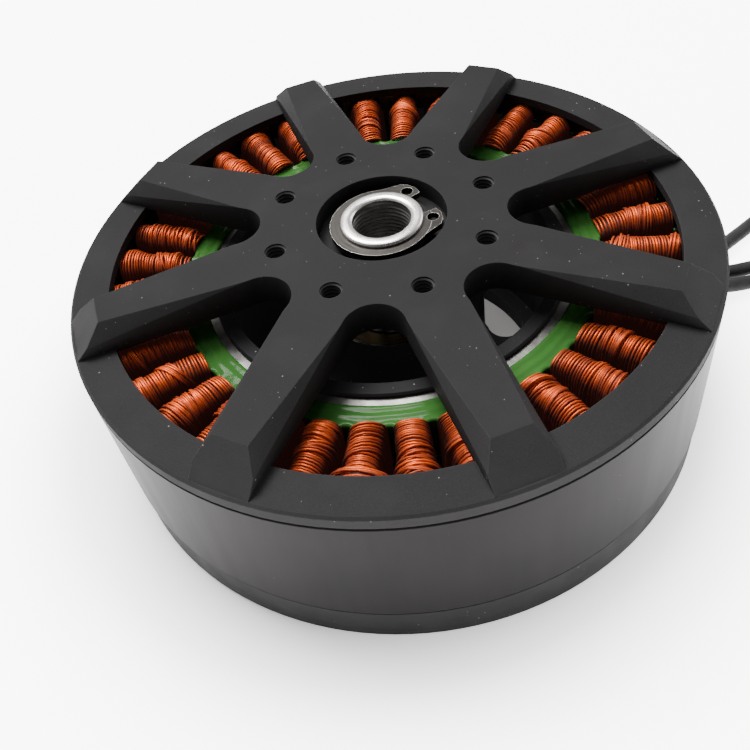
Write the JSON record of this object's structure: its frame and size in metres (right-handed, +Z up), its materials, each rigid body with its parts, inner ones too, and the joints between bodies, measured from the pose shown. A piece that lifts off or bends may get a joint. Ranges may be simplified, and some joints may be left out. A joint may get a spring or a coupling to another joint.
{
  "type": "brushless outrunner motor",
  "caption": "Flat outrunner motor with a spoked turning bell, tapped hub and hollow shaft, copper-wound stator on a fixed base, and three free leads.",
  "frame": {"origin": "on the shaft axis, at the underside of the base", "axes": "+Z up along the shaft towards the spoked bell; +X lies along one spoke at rest, 5 degrees from the side where the leads leave"},
  "size_m": [0.2224, 0.1, 0.0363],
  "materials": {
    "bell_anodised": "satin dark grey anodised, bead blasted",
    "base_anodised": "satin black anodised",
    "ring_coated": "satin dark grey coated steel",
    "lamination": "bare electrical steel",
    "green_coating": "glossy green powder coat",
    "winding": null,
    "bearing_steel": "ground bearing steel",
    "shield": "pressed shield",
    "cage_brass": "pressed cage",
    "magnet_nickel": "nickel plate",
    "shaft_steel": "turned steel",
    "spring_steel": "oiled spring steel",
    "black_rubber": "matte",
    "lead_insulation": "soft silicone, slightly shiny",
    "black_sleeve": "shrunk sleeve",
    "plug_gold": "gold plate"
  },
  "bodies": {
    "stator": {"base": "base_anodised", "stator_core": "lamination", "coating_top": "green_coating", "coating_bottom": "green_coating", "winding_u": "winding", "winding_v": "winding", "winding_w": "winding", "upper_outer_race": "bearing_steel", "lower_outer_race": "bearing_steel", "upper_shields": "shield", "lower_shields": "shield", "outlet_grommet": "black_rubber", "lead_u": "lead_insulation", "lead_v": "lead_insulation", "lead_w": "lead_insulation", "sleeve_u": "black_sleeve", "sleeve_v": "black_sleeve", "sleeve_w": "black_sleeve", "plug_u": "plug_gold", "plug_v": "plug_gold", "plug_w": "plug_gold"},
    "rotor": {"bell": "bell_anodised", "flux_ring": "ring_coated", "magnets": "magnet_nickel", "shaft": "shaft_steel", "top_circlip": "spring_steel", "bottom_circlip": "spring_steel", "upper_spacer": "shaft_steel", "end_washer": "shaft_steel", "upper_inner_race": "bearing_steel", "lower_inner_race": "bearing_steel"},
    "upper_ball_set": {"upper_cage": "cage_brass", "upper_balls": "bearing_steel"},
    "lower_ball_set": {"lower_cage": "cage_brass", "lower_balls": "bearing_steel"}
  },
  "joints": [
    {"name": "rotor_spin", "type": "hinge", "parent": "stator", "child": "rotor", "pos_m": [0, 0, 0.018], "axis": [0, 0, 1], "continuous": true},
    {"name": "upper_ball_set_spin", "type": "hinge", "parent": "stator", "child": "upper_ball_set", "pos_m": [0, 0, 0.0158], "axis": [0, 0, 1], "continuous": true},
    {"name": "lower_ball_set_spin", "type": "hinge", "parent": "stator", "child": "lower_ball_set", "pos_m": [0, 0, 0.006], "axis": [0, 0, 1], "continuous": true}
  ],
  "couplings": [
    {"joint": "upper_ball_set_spin", "follows": "rotor_spin", "ratio": 0.4122},
    {"joint": "lower_ball_set_spin", "follows": "rotor_spin", "ratio": 0.4122}
  ]
}
